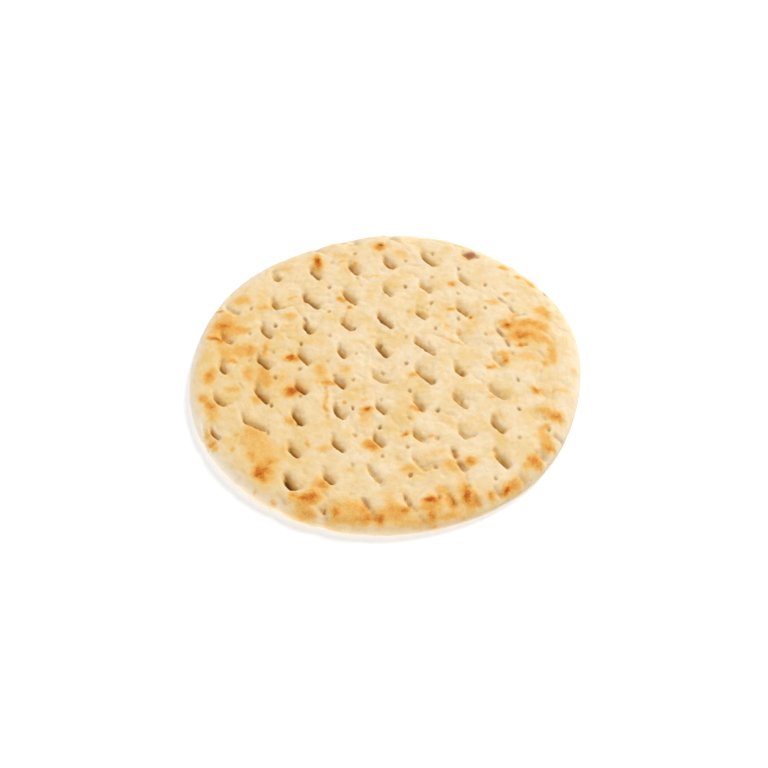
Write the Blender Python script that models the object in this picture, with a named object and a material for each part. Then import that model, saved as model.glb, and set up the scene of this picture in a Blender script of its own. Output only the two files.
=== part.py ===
# Pita bread: a round, pocketless flatbread with a pressed lattice of scooped dimples,
# a second lattice of docking holes, puffed places and a rounded, creased rim.
# The bread lies flat, with the middle of its resting face at the origin and +Z up.
# One solid, in metres.

import math

import bmesh
import bpy
import numpy as np

MM = 0.001

# The loaf: its outline and its profile from the middle to the rim
BREAD_RADIUS = 86.3 * MM
CRUST_HEIGHT = 8.7 * MM        # flat crust between the dimples, above the resting face
EQUATOR_HEIGHT = 2.9 * MM      # height of the widest line round the rim
TOP_SHOULDER = 10.0 * MM       # how far in from the rim the top starts to round over
FOOT_SHOULDER = 3.6 * MM       # how far in from the rim the underside starts to lift
# Unevenness of the outline: waves round the rim, height of each wave, where it peaks
OUTLINE_WAVES = (
    (2, 1.2 * MM, math.radians(45)),
    (3, 0.45 * MM, math.radians(45)),
    (4, 0.3 * MM, math.radians(42)),
    (5, 0.3 * MM, math.radians(13)),
    (6, 0.4 * MM, math.radians(20)),
)
RELIEF_FADE = 0.75             # share of the shoulder's height over which the relief fades
# Slow swells of the crust: wavelength and height
SWELL_LENGTH = 52.0 * MM
SWELL_HEIGHT = 0.45 * MM
RIPPLE_LENGTH = 13.0 * MM
RIPPLE_HEIGHT = 0.22 * MM

# The press lattice: scoops pushed into the dough towards PRESS_HEADING
PRESS_MIDDLE = (-0.5 * MM, 8.1 * MM)
PRESS_PITCH = 17.6 * MM
PRESS_ROW_ANGLE = math.radians(9.7)
PRESS_COLUMN_ANGLE = math.radians(86.9)
PRESS_HEADING = 223.4          # degrees
# How far a scoop strays from the lattice: size, then its swing along rows and columns
PRESS_STRAY_X = (0.45 * MM, 0.3, 1.2, -1.7)
PRESS_STRAY_Y = (0.75 * MM, 1.1, 0.8, -2.2)
PRESS_STRAY_TURN = (5.0, 1.9, 2.6, 0.4)
PRESS_STRAY_REACH = (1.0 * MM, 2.3, 1.4, 0.9)
# Share of the full depth that the baking left of each scoop, by column of the lattice
# from the left, and in each column from the front rim to the back rim
FIRST_COLUMN = -4
FIRST_ROW = -5
SCOOPS_LEFT = (
    (0.0, 0.0, 0.0, 0.75, 0.8, 0.9, 0.75, 0.55, 0.0, 0.0),
    (0.0, 0.0, 0.0, 0.75, 0.9, 1.0, 0.85, 0.85, 0.8, 0.0),
    (0.0, 1.3, 1.0, 1.0, 0.9, 0.85, 1.0, 1.0, 1.0, 0.35),
    (0.8, 0.9, 0.9, 0.9, 0.9, 0.85, 0.9, 0.85, 1.0, 0.4),
    (0.75, 0.65, 0.8, 0.85, 0.65, 1.0, 1.0, 0.8, 0.95, 0.4),
    (0.9, 0.5, 0.65, 0.7, 0.85, 0.85, 0.8, 0.75, 0.9, 0.0),
    (0.0, 0.4, 0.7, 0.75, 0.75, 0.4, 0.75, 0.7, 0.5, 0.0),
    (0.3, 0.9, 0.85, 0.65, 0.5, 0.2, 0.0, 0.0, 0.0, 0.0),
    (0.0, 0.4, 0.4, 0.2, 0.0, 0.0, 0.0, 0.0, 0.0, 0.0),
)
# Scoops that differ, by column and row: moved by x and y, longer by reach at the tip and
# by back at the elbow, all in mm, turned by degrees, and with a share of a right wall
UNLIKE_SCOOPS = {
    (-4, 2): {"x": -1.5, "turn": 18},
    (-4, 1): {"x": -1, "turn": 9},
    (-4, 0): {"x": -1},
    (-4, -1): {"x": -0.5, "reach": -1.5, "turn": 8, "hook": 0.8},
    (-4, -2): {"reach": -2},
    (-3, 3): {"x": -1, "y": 1, "reach": -1},
    (-3, 2): {"reach": -1.5, "back": -1.5, "hook": 1.0},
    (-3, 1): {"x": -2, "y": 1},
    (-3, 0): {"x": -1},
    (-3, -1): {"x": -0.5, "reach": 2.5, "back": 1.5},
    (-3, -2): {"x": -1, "y": 1.5, "reach": 3, "back": 3, "turn": 12},
    (-2, 3): {"x": -1, "y": 1},
    (-2, 2): {"x": -0.5, "reach": 2, "back": 2},
    (-2, 0): {"x": -1},
    (-2, -1): {"x": -1, "reach": -0.5},
    (-2, -2): {"x": -1, "y": 1.5, "hook": 0.3},
    (-2, -3): {"y": 1},
    (-2, -4): {"x": -0.5, "y": 2.5, "reach": -2, "turn": 10, "hook": 0.8},
    (-1, 4): {"reach": -1},
    (-1, 3): {"x": -0.5, "y": 1},
    (-1, 2): {"x": -1.5, "y": 1},
    (-1, 0): {"x": -1},
    (-1, -1): {"x": -1},
    (-1, -2): {"x": -1, "y": 1.5},
    (-1, -3): {"y": 1},
    (-1, -4): {"x": -1.5, "y": 1.5, "turn": 10},
    (-1, -5): {"x": -2, "y": 4.5, "reach": -1.5, "back": -2},
    (0, 3): {"x": -1},
    (0, 2): {"x": -1, "y": 0.5},
    (0, 1): {"x": -0.5, "reach": 0.5, "back": 1.5},
    (0, 0): {"x": -1},
    (0, -1): {"x": -1.5, "y": 1, "turn": 12, "hook": 0.5},
    (0, -3): {"x": -0.5, "y": 0.5},
    (0, -4): {"x": -1, "y": 1, "reach": 1.5},
    (0, -5): {"x": -2.5, "y": 1, "reach": 3},
    (1, 3): {"x": -1.5, "y": 1, "hook": 0.6},
    (1, 2): {"x": -1},
    (1, 1): {"x": -1.5, "turn": 8},
    (1, 0): {"y": -0.5, "reach": 3, "back": 1},
    (1, -1): {"y": 0.5, "reach": 2.5, "back": 0.5},
    (1, -2): {"x": -1.5, "y": 1},
    (1, -3): {"x": -0.5},
    (1, -4): {"y": 2.5, "back": 1, "turn": 5, "hook": 1.0},
    (1, -5): {"x": -2.5, "y": 1},
    (2, 2): {"x": -1, "y": 1, "reach": -1, "back": -1},
    (2, 1): {"x": -1.5, "y": 0.5, "reach": 0.5, "back": -1},
    (2, -1): {"x": -0.5, "y": -1},
    (2, -2): {"x": -1, "turn": 8, "hook": 0.4},
    (2, -3): {"x": -0.5, "reach": -1.5, "back": -2, "hook": 1.0},
    (2, -4): {"y": 1, "back": 2, "hook": 0.4},
    (3, -1): {"x": -1.5, "y": 1.5, "reach": 0.5},
    (3, -2): {"back": 2.5, "turn": 8, "hook": 0.3},
    (3, -3): {"x": -1.5, "back": 1.5},
    (4, -3): {"x": -1, "back": 3},
}
# Scoops of the front rim turn towards it, and run out over it as creases
RIM_TURN = 27.0                # degrees
RIM_TURN_FROM = 52.0 * MM
SCOOP_DEPTH = 4.5 * MM
# The wall's straight edge, ahead of the press point, between its elbow and its tip
EDGE_AHEAD = 1.0 * MM
TIP_ACROSS = 3.6 * MM
ELBOW_ACROSS = -4.7 * MM
ELBOW_ROUND = 1.6 * MM
TIP_ROUND = 0.7 * MM
LEFT_FLARE = 1.36              # how steeply the edge runs back past the elbow
RIGHT_FLARE = 2.2              # and past the tip, where there is a right wall
LEFT_FADE = 3.8 * MM           # over how far the scoop fades out past the elbow
RIGHT_FADE = 2.4 * MM
WALL_WIDTH = 0.9 * MM
FLOOR_LENGTH = 1.8 * MM        # behind the wall, over which the floor loses two thirds of its depth
LIP_HEIGHT = 0.3 * MM
LIP_WIDTH = 1.9 * MM
# A press close to the rim also notches the outline
NOTCH_REACH = 9.0 * MM
NOTCH_DEPTH = 0.7 * MM
NOTCH_WIDTH = 2.6 * MM

# The docking holes
DOCK_MIDDLE = (9.4 * MM, -14.1 * MM)
DOCK_STEP = (11.7 * MM, 5.1 * MM)
DOCK_PITCH = 15.7 * MM
DOCK_STRAY_X = (0.7 * MM, 2.1, 2.0, 2.0)
DOCK_STRAY_Y = (0.85 * MM, 0.6, 0.5, -2.0)
DOCK_RADIUS = 1.1 * MM
DOCK_DEPTH = 1.8 * MM
# Where a hole closed up again in the baking, in mm
CLOSED_DOCKS = (
    (-61, -13), (-61, -28), (-49, 38), (-25, -44), (-60, -44), (-26, -60), (-37, -66), (-38, 59), (-25, 64),
    (-3, 59), (-60, 50), (44, -31), (68, 28), (67.5, 12), (45, 1), (56, 23), (33, -37), (33, -52), (56, 55),
    (67, -20), (33, 12), (44, -14), (-73, 14), (-73, -2), (-70, -18), (72, -34), (-65, 52),
)
CLOSED_REACH = 4.0 * MM
DOCK_MARGIN = 8.0 * MM         # no holes this close to the rim

# The puffs: middle, radius and height of each, in mm
PUFFS = (
    (63, 20, 13, 0.9), (47.5, 33, 7.5, 1.3), (46.5, 17, 7, 1.2), (-51, -46, 11, 0.8), (-15, -77, 8, 1.0),
    (-32, -72, 6, 0.7), (2, -76, 6, 0.8), (18, -75, 6, 0.8), (33, -70, 5, 0.6), (15.5, -52, 6, 1.0),
    (24, -51, 5, 0.7), (26, -60, 6, 0.8), (58, -7, 7, 0.6), (60, -45, 8, 0.6), (5, 72, 8, 0.6),
    (-22, 70, 7, 0.5),
)

# The mesh: how finely the form is made, and the share of its faces that are kept
SPHERE_DIVISIONS = 8
FACES_KEPT = 0.029
TOP_SHARE = math.radians(112)  # angle down from the pole that becomes the top side
FOOT_TOLERANCE = 0.04 * MM     # anything this close to the resting plane lies in it

CRUST_COLOUR = (0.86, 0.68, 0.41, 1.0)
CRUST_ROUGHNESS = 0.75


def clear_scene():
    for found in list(bpy.data.objects):
        bpy.data.objects.remove(found, do_unlink=True)


def crust_material():
    crust = bpy.data.materials.new("crust")
    crust.use_nodes = True
    shader = crust.node_tree.nodes["Principled BSDF"]
    shader.inputs["Base Color"].default_value = CRUST_COLOUR
    shader.inputs["Roughness"].default_value = CRUST_ROUGHNESS
    return crust


def smooth(t):
    t = np.clip(t, 0.0, 1.0)
    return t * t * (3.0 - 2.0 * t)


def outline_radius(angle, presses):
    # Distance from the middle to the rim in each direction
    radius = np.full_like(angle, BREAD_RADIUS)
    for count, height, peak in OUTLINE_WAVES:
        radius += height * np.cos(count * (angle - peak))
    for press in presses:
        if math.hypot(press["x"], press["y"]) > BREAD_RADIUS - NOTCH_REACH:
            aside = angle - math.atan2(press["y"], press["x"])
            aside = BREAD_RADIUS * np.arctan2(np.sin(aside), np.cos(aside))
            radius -= NOTCH_DEPTH * press["share"] * np.exp(-(aside / NOTCH_WIDTH) ** 2)
    return radius


def loaf_point(direction, presses):
    # Turns points of a unit sphere into the plain loaf: a flat crust, rounded shoulders
    # and a flat resting face. Steps along the sphere become steps along the profile.
    angle = np.arctan2(direction[:, 1], direction[:, 0])
    radius = outline_radius(angle, presses)
    down = np.arccos(np.clip(direction[:, 2], -1.0, 1.0))
    top = down < TOP_SHARE
    reach_top = np.sqrt((1.0 - np.cos(down)) / (1.0 - math.cos(TOP_SHARE)))
    reach_foot = np.sqrt((1.0 + np.cos(down)) / (1.0 + math.cos(TOP_SHARE)))
    reach = np.where(top, reach_top, reach_foot)
    shoulder = np.where(top, TOP_SHOULDER, FOOT_SHOULDER)
    rise = np.where(top, CRUST_HEIGHT - EQUATOR_HEIGHT, -EQUATOR_HEIGHT)
    flat = radius - shoulder
    along = reach * (flat + shoulder * math.pi / 2)
    turn = np.clip((along - flat) / shoulder, 0.0, math.pi / 2)
    out = np.where(along < flat, along, flat + shoulder * np.sin(turn))
    up = EQUATOR_HEIGHT + rise * np.cos(turn)
    return out * np.cos(angle), out * np.sin(angle), up, top


def stray(rule, column, row):
    # The small offset of one place of a lattice
    size, along_rows, along_columns, start = rule
    return size * math.sin(along_rows * column + along_columns * row + start)


def press_points():
    # For each scoop: its place, its share of the full depth, its heading and its extra lengths
    places = []
    row_x = PRESS_PITCH * math.cos(PRESS_ROW_ANGLE)
    row_y = PRESS_PITCH * math.sin(PRESS_ROW_ANGLE)
    column_x = PRESS_PITCH * math.cos(PRESS_COLUMN_ANGLE)
    column_y = PRESS_PITCH * math.sin(PRESS_COLUMN_ANGLE)
    for i, shares in enumerate(SCOOPS_LEFT, FIRST_COLUMN):
        for j, share in enumerate(shares, FIRST_ROW):
            x = PRESS_MIDDLE[0] + i * row_x + j * column_x + stray(PRESS_STRAY_X, i, j)
            y = PRESS_MIDDLE[1] + i * row_y + j * column_y + stray(PRESS_STRAY_Y, i, j)
            near_front = smooth((-y - RIM_TURN_FROM) / (BREAD_RADIUS - RIM_TURN_FROM))
            unlike = UNLIKE_SCOOPS.get((i, j), {})
            turn = stray(PRESS_STRAY_TURN, i, j) - RIM_TURN * near_front + unlike.get("turn", 0)
            if share > 0.0:
                places.append({
                    "x": x + unlike.get("x", 0) * MM,
                    "y": y + unlike.get("y", 0) * MM,
                    "share": share,
                    "heading": math.radians(PRESS_HEADING + turn),
                    "reach": unlike.get("reach", 0) * MM + stray(PRESS_STRAY_REACH, i, j),
                    "back": unlike.get("back", 0) * MM,
                    "hook": unlike.get("hook", 0),
                })
    return places


def dock_points():
    places = []
    for i in range(-8, 9):
        for j in range(-8, 9):
            x = DOCK_MIDDLE[0] + i * DOCK_STEP[0] + stray(DOCK_STRAY_X, i, j)
            y = DOCK_MIDDLE[1] + i * DOCK_STEP[1] + j * DOCK_PITCH + stray(DOCK_STRAY_Y, i, j)
            nearest = min(math.hypot(x - hole[0] * MM, y - hole[1] * MM) for hole in CLOSED_DOCKS)
            if nearest > CLOSED_REACH and math.hypot(x, y) < BREAD_RADIUS - DOCK_MARGIN:
                places.append((x, y))
    return places


def rounded(value, width):
    # The value where it is positive, easing into 0 below that
    return 0.5 * (value + np.sqrt(value * value + width * width))


def scoop(x, y, press):
    # Depth of one scoop, from 0 to 1, and the height of its lip, from 0 to 1
    ahead_x, ahead_y = math.cos(press["heading"]), math.sin(press["heading"])
    ahead = (x - press["x"]) * ahead_x + (y - press["y"]) * ahead_y
    across = (y - press["y"]) * ahead_x - (x - press["x"]) * ahead_y
    past_tip = across - TIP_ACROSS - press["reach"]
    past_elbow = ELBOW_ACROSS - press["back"] - across
    bend = LEFT_FLARE * rounded(past_elbow, ELBOW_ROUND)
    bend = bend + RIGHT_FLARE * press["hook"] * rounded(past_tip, TIP_ROUND)
    inside = EDGE_AHEAD - ahead - bend
    floor = np.exp(np.minimum((WALL_WIDTH - inside) / FLOOR_LENGTH, 0.0))
    fade_left = 1.0 - smooth((past_elbow + MM) / (LEFT_FADE + MM))
    faded = past_tip - 1.2 * RIGHT_FADE * press["hook"]
    fade_right = 1.0 - smooth((faded + RIGHT_FADE) / (1.2 * RIGHT_FADE))
    width = fade_left * fade_right * press["share"]
    lip = np.exp(-(inside / LIP_WIDTH + 0.8) ** 2)
    return smooth(inside / WALL_WIDTH) * floor * width, lip * width


def swells(x, y, length, count, seed):
    # Smooth unevenness between -1 and 1, from waves that run in all directions
    draw = np.random.default_rng(seed)
    total = np.zeros_like(x)
    for heading, phase in draw.uniform(0.0, 2.0 * math.pi, (count, 2)):
        run = x * math.cos(heading) + y * math.sin(heading)
        total += np.sin(2.0 * math.pi * run / length + phase)
    return total / math.sqrt(count)


def crust_relief(x, y, presses):
    # What the pressing, docking and puffing add to the plain crust, in metres
    depth = np.zeros_like(x)
    lift = np.zeros_like(x)
    for press in presses:
        hollow, lip = scoop(x, y, press)
        depth = np.maximum(depth, SCOOP_DEPTH * hollow)
        lift = np.maximum(lift, LIP_HEIGHT * lip)
    for dock_x, dock_y in dock_points():
        apart = np.hypot(x - dock_x, y - dock_y) / DOCK_RADIUS
        depth = depth + DOCK_DEPTH * np.exp(-apart * apart) * (1.0 - 0.5 * depth / SCOOP_DEPTH)
    for puff_x, puff_y, radius, height in PUFFS:
        apart = np.hypot(x - puff_x * MM, y - puff_y * MM) / (radius * MM)
        lift = lift + height * MM * np.exp(-apart ** 3)
    uneven = SWELL_HEIGHT * swells(x, y, SWELL_LENGTH, 5, 4)
    uneven += RIPPLE_HEIGHT * swells(x, y, RIPPLE_LENGTH, 7, 5)
    return lift - depth + uneven


def shape_bread(mesh):
    # The relief fades out down the side of the rim, and the underside has none
    points = np.empty(len(mesh.vertices) * 3)
    mesh.vertices.foreach_get("co", points)
    direction = points.reshape(-1, 3)
    direction /= np.linalg.norm(direction, axis=1, keepdims=True)
    presses = press_points()
    x, y, z, top = loaf_point(direction, presses)
    high = smooth((z - EQUATOR_HEIGHT) / (RELIEF_FADE * (CRUST_HEIGHT - EQUATOR_HEIGHT)))
    relief = np.where(top, crust_relief(x, y, presses) * high, 0.0)
    shaped = np.column_stack((x, y, z + relief))
    mesh.vertices.foreach_set("co", shaped.ravel())


def thin_out(bread):
    # Keeps the faces where the form needs them
    thinning = bread.modifiers.new("fewer_faces", "DECIMATE")
    thinning.ratio = FACES_KEPT
    evaluated = bread.evaluated_get(bpy.context.evaluated_depsgraph_get())
    thinned = bpy.data.meshes.new_from_object(evaluated)
    bread.modifiers.clear()
    bread.data = thinned


def seat(mesh):
    # Lays the underside in one plane, and centres the bread over the origin
    low = [min(vertex.co[axis] for vertex in mesh.vertices) for axis in range(2)]
    high = [max(vertex.co[axis] for vertex in mesh.vertices) for axis in range(2)]
    for vertex in mesh.vertices:
        vertex.co.x -= (low[0] + high[0]) / 2
        vertex.co.y -= (low[1] + high[1]) / 2
        if vertex.co.z < FOOT_TOLERANCE:
            vertex.co.z = 0.0


def make_bread(collection):
    mesh = bpy.data.meshes.new("pita_bread")
    form = bmesh.new()
    bmesh.ops.create_icosphere(form, subdivisions=SPHERE_DIVISIONS, radius=1.0)
    form.to_mesh(mesh)
    form.free()
    shape_bread(mesh)
    bread = bpy.data.objects.new("pita_bread", mesh)
    collection.objects.link(bread)
    bpy.context.view_layer.update()
    thin_out(bread)
    seat(bread.data)
    bread.data.materials.append(crust_material())
    bread.data.shade_smooth()
    return bread


clear_scene()
bread_collection = bpy.data.collections.new("pita_bread")
bpy.context.scene.collection.children.link(bread_collection)
make_bread(bread_collection)
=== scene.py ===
import math
import re

import bpy
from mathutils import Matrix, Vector


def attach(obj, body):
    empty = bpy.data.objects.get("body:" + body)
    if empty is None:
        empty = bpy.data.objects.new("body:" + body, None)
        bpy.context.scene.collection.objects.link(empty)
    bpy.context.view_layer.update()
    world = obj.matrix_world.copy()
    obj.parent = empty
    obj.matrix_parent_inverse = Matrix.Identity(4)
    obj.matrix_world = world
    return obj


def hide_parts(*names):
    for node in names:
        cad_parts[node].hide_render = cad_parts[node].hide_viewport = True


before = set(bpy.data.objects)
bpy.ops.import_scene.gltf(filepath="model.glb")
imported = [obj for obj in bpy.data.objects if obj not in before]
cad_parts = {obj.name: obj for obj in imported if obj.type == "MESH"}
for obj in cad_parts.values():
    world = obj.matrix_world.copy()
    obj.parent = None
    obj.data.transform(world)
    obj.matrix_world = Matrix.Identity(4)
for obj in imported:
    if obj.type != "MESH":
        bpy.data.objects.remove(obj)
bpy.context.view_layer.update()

mm = 0.001


# small helpers for node trees

class Field:
    # a node's output, which can be added, multiplied and so on with others or with plain numbers
    def __init__(self, tree, socket):
        self.tree = tree
        self.socket = socket

    def __add__(self, other):
        return calc("ADD", self, other)

    def __radd__(self, other):
        return calc("ADD", other, self)

    def __sub__(self, other):
        return calc("SUBTRACT", self, other)

    def __rsub__(self, other):
        return calc("SUBTRACT", other, self)

    def __mul__(self, other):
        return calc("MULTIPLY", self, other)

    def __rmul__(self, other):
        return calc("MULTIPLY", other, self)

    def __truediv__(self, other):
        return calc("DIVIDE", self, other)

    def __pow__(self, other):
        return calc("POWER", self, other)

    def __neg__(self):
        return calc("MULTIPLY", self, -1.0)

    def __abs__(self):
        return calc("ABSOLUTE", self)


def plug(tree, socket, value):
    # an output is linked, a plain value is typed in
    if isinstance(value, Field):
        tree.links.new(value.socket, socket)
    else:
        socket.default_value = value


def plugAll(tree, node, inputs):
    for name, value in inputs.items():
        plug(tree, node.inputs[name], value)


def place(tree, kind, inputs=None, output=0, **settings):
    # adds a node and gives one of its outputs
    node = tree.nodes.new(kind)
    for name, value in settings.items():
        setattr(node, name, value)
    plugAll(tree, node, inputs or {})
    return Field(tree, node.outputs[output])


def treeOf(*values):
    return next(value.tree for value in values if isinstance(value, Field))


def calc(operation, *values):
    # works on numbers, or on vectors where one of the values is a vector
    ofVectors = any(isinstance(value, Field) and value.socket.type in ("VECTOR", "RGBA") for value in values)
    kind = "ShaderNodeVectorMath" if ofVectors else "ShaderNodeMath"
    return place(treeOf(*values), kind, dict(enumerate(values)), operation=operation)


def scaled(vector, factor):
    return place(vector.tree, "ShaderNodeVectorMath", {0: vector, "Scale": factor}, operation="SCALE")


def fallOff(value):
    # 1 where the value is 0, fading as it grows
    return calc("EXPONENT", -value)


def cosine(angle):
    return calc("COSINE", angle)


def sine(angle):
    return calc("SINE", angle)


def root(value):
    return calc("SQRT", value)


def highest(value, other):
    return calc("MAXIMUM", value, other)


def lowest(value, other):
    return calc("MINIMUM", value, other)


def eased(value, fromLow, fromHigh, toLow=0.0, toHigh=1.0):
    # smooth step from one range to another
    given = dict(enumerate((value, fromLow, fromHigh, toLow, toHigh)))
    return place(value.tree, "ShaderNodeMapRange", given, interpolation_type="SMOOTHSTEP")


def outputsOf(field):
    # all the outputs of a node, by name
    return {socket.name: Field(field.tree, socket) for socket in field.socket.node.outputs}


def apart(vector):
    return outputsOf(place(vector.tree, "ShaderNodeSeparateXYZ", {0: vector})).values()


def joined(tree, x, y, z):
    return place(tree, "ShaderNodeCombineXYZ", {0: x, 1: y, 2: z})


def noise(vector, scale, detail=2.0, roughness=0.5, output=0):
    return place(vector.tree, "ShaderNodeTexNoise", {"Vector": vector, "Scale": scale, "Detail": detail,
                                                     "Roughness": roughness}, output=output)


def uneven(vector, scale, swing, detail=2.0):
    # noise that swings evenly up and down
    return (noise(vector, scale, detail) - 0.5) * swing


def positionOf(tree):
    return place(tree, "GeometryNodeInputPosition")


def moved(geometry, how, vector):
    # how is Position or Offset
    return place(geometry.tree, "GeometryNodeSetPosition", {"Geometry": geometry, how: vector})


def readAttribute(tree, name, kind="FLOAT"):
    return place(tree, "GeometryNodeInputNamedAttribute", {"Name": name}, output="Attribute", data_type=kind)


def keepAttribute(geometry, name, value, kind="FLOAT"):
    given = {"Geometry": geometry, "Name": name, "Value": value}
    return place(geometry.tree, "GeometryNodeStoreNamedAttribute", given, data_type=kind, domain="POINT")


def keepHighest(geometry, name, value):
    return keepAttribute(geometry, name, highest(value, readAttribute(geometry.tree, name)))


def sampled(points, value, index, kind):
    given = {"Geometry": points, "Value": value, "Index": index}
    return place(points.tree, "GeometryNodeSampleIndex", given, data_type=kind)


def carried(points, index, *names):
    # the numbers that one of the loose points carries
    return [sampled(points, readAttribute(points.tree, name), index, "FLOAT") for name in names]


def repeatOver(points, geometry, step):
    # runs step once for each of the points, handing the geometry on
    tree = geometry.tree
    count = place(tree, "GeometryNodeAttributeDomainSize", {"Geometry": points}, output="Point Count",
                  component="MESH")
    start = tree.nodes.new("GeometryNodeRepeatInput")
    end = tree.nodes.new("GeometryNodeRepeatOutput")
    start.pair_with_output(end)
    plug(tree, start.inputs["Iterations"], count)
    plug(tree, start.inputs["Geometry"], geometry)
    current = Field(tree, start.outputs["Geometry"])
    plug(tree, end.inputs["Geometry"], step(current, Field(tree, start.outputs["Iteration"])))
    return Field(tree, end.outputs["Geometry"])


def newTree(name, kind, inputs, outputs):
    # an input is given by its kind of socket, or as a number that it starts from
    tree = bpy.data.node_groups.new(name, kind)
    for label, socketType in outputs.items():
        tree.interface.new_socket(label, in_out="OUTPUT", socket_type=socketType)
    for label, given in inputs.items():
        if isinstance(given, str):
            tree.interface.new_socket(label, in_out="INPUT", socket_type=given)
        else:
            socket = tree.interface.new_socket(label, in_out="INPUT", socket_type="NodeSocketFloat")
            socket.default_value = given
    end = tree.nodes.new("NodeGroupOutput")
    return tree, outputsOf(place(tree, "NodeGroupInput")), end.inputs


def useGroup(tree, group, inputs):
    return outputsOf(place(tree, "ShaderNodeGroup", inputs, node_tree=group))


def newMaterial(name):
    material = bpy.data.materials.new(name)
    material.use_nodes = True
    return material, material.node_tree, material.node_tree.nodes["Principled BSDF"]


def newObject(name, data):
    added = bpy.data.objects.new(name, data)
    bpy.context.scene.collection.objects.link(added)
    return added


# the bread's form

loaf = {
    "radius": 86.3 * mm,
    "crustHeight": 8.7 * mm,      # flat crust between the dimples
    "equatorHeight": 2.9 * mm,    # the widest line round the rim
    "topShoulder": 10.0 * mm,     # width over which the top rounds off
    "footShoulder": 3.6 * mm,     # width over which the underside lifts
    "reliefFade": 0.75,           # share of the shoulder over which the relief fades
    "topAngle": 140,              # degrees of the ball that become the top
    "pointsAcross": 128,          # of one side of the cube that the mesh starts from
    "seed": 7.0,
    # waves round the outline: how many, height in mm, degrees where they peak
    "outlineWaves": ((2, 1.2, 45), (3, 0.45, 45), (4, 0.3, 42), (5, 0.3, 13), (6, 0.4, 20)),
    "swell": 1.8 * mm,            # slow rise and fall of the crust, and its waves in a metre
    "swellScale": 22.0,
    "ripple": 2.55 * mm,          # bumps about a centimetre apart
    "rippleScale": 90.0,
    "wrinkle": 1.08 * mm,         # fine unevenness
    "wrinkleScale": 420.0,
    "pillow": 0.65 * mm,          # depth of the thin creases between small pillows
    "pillowScale": 105.0,
    "pillowEdge": 9.0,            # the higher, the thinner the creases
    "patchScale": 40.0,           # where there are pillows at all
    "patchEdge": (0.42, 0.58),
    "footLift": 0.35 * mm,        # unevenness of the underside
    "footScale": 60.0,
    "puffEdge": 1.5,              # the higher, the flatter the puffs and the steeper their sides
    "finerShare": 0.4,            # of fine waves to coarse ones, where places are pushed about in plan
}

press = {
    "middle": (-0.5 * mm, 8.1 * mm),
    "pitch": 17.6 * mm,
    "rowAngle": 9.7,
    "columnAngle": 86.9,
    "heading": 223.4,             # the way each scoop is pushed
    "strayX": (0.45 * mm, 0.3, 1.2, -1.7),   # size, swing along rows and columns, start
    "strayY": (0.75 * mm, 1.1, 0.8, -2.2),
    "strayTurn": (5.0, 1.9, 2.6, 0.4),       # degrees
    "strayReach": (1.0 * mm, 2.3, 1.4, 0.9),
    "scoopDepth": 4.5 * mm,
    "edgeAhead": 1.0 * mm,        # the wall's straight edge, ahead of the press point
    "tipAcross": 3.6 * mm,        # the pointed end of the edge, to the right of the press point
    "elbowAcross": -4.7 * mm,     # where the edge bends back at its left
    "elbowRound": 1.6 * mm,
    "leftFlare": 1.36,            # how steeply the edge runs back past the elbow
    "rightFlare": 2.2,            # and past the tip, where there is a right wall
    "tipRound": 0.7 * mm,
    "leftFadeFrom": -1.0 * mm,    # the scoop fades out between these, past the elbow
    "leftFade": 3.8 * mm,
    "rightFade": 2.4 * mm,        # and over this before the tip
    "rightFadePast": 0.48 * mm,   # ending this far past it
    "hookReach": 2.88 * mm,       # or, with a right wall, this much farther
    "wallWidth": 0.9 * mm,
    "floorLength": 1.8 * mm,      # behind the wall the floor loses two thirds of its depth over this length
    "lipHeight": 0.3 * mm,
    "lipWidth": 1.9 * mm,
    "lipAhead": 0.8,              # from the edge to the lip's crest, in widths of the lip
    "softness": 0.6,              # how much of its neighbours each point of a wall takes on
    "rimTurn": 27,                # scoops of the front rim turn towards it
    "rimTurnFrom": 52.0 * mm,
    "notchReach": 9.0 * mm,       # scoops this close to the rim notch the outline
    "notchDepth": 0.7 * mm,
    "notchWidth": 2.6 * mm,
    "warp": 1.8 * mm,             # unevenness of the walls in plan, from coarse and fine waves
    "warpScales": (160.0, 480.0),
    # how much of each scoop the baking left, by column from the left, front to back
    "firstColumn": -4,
    "firstRow": -5,
    "shares": (
        (0, 0, 0, 0.75, 0.8, 0.9, 0.75, 0.55, 0, 0),
        (0, 0, 0, 0.75, 0.9, 1, 0.85, 0.85, 0.8, 0),
        (0, 1.3, 1, 1, 0.9, 0.85, 1, 1, 1, 0.35),
        (0.8, 0.9, 0.9, 0.9, 0.9, 0.85, 0.9, 0.85, 1, 0.4),
        (0.25, 0.65, 0.8, 0.85, 0.65, 1, 1, 0.8, 0.95, 0.4),
        (0.15, 0.5, 0.65, 0.7, 0.85, 0.85, 0.8, 0.75, 0.9, 0),
        (0, 0.4, 0.7, 0.75, 0.75, 0.4, 0.75, 0.7, 0.5, 0),
        (0.3, 0.9, 0.85, 0.65, 0.5, 0.2, 0, 0, 0, 0),
        (0, 0.4, 0.15, 0.2, 0, 0, 0, 0, 0, 0),
    ),
}

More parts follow.
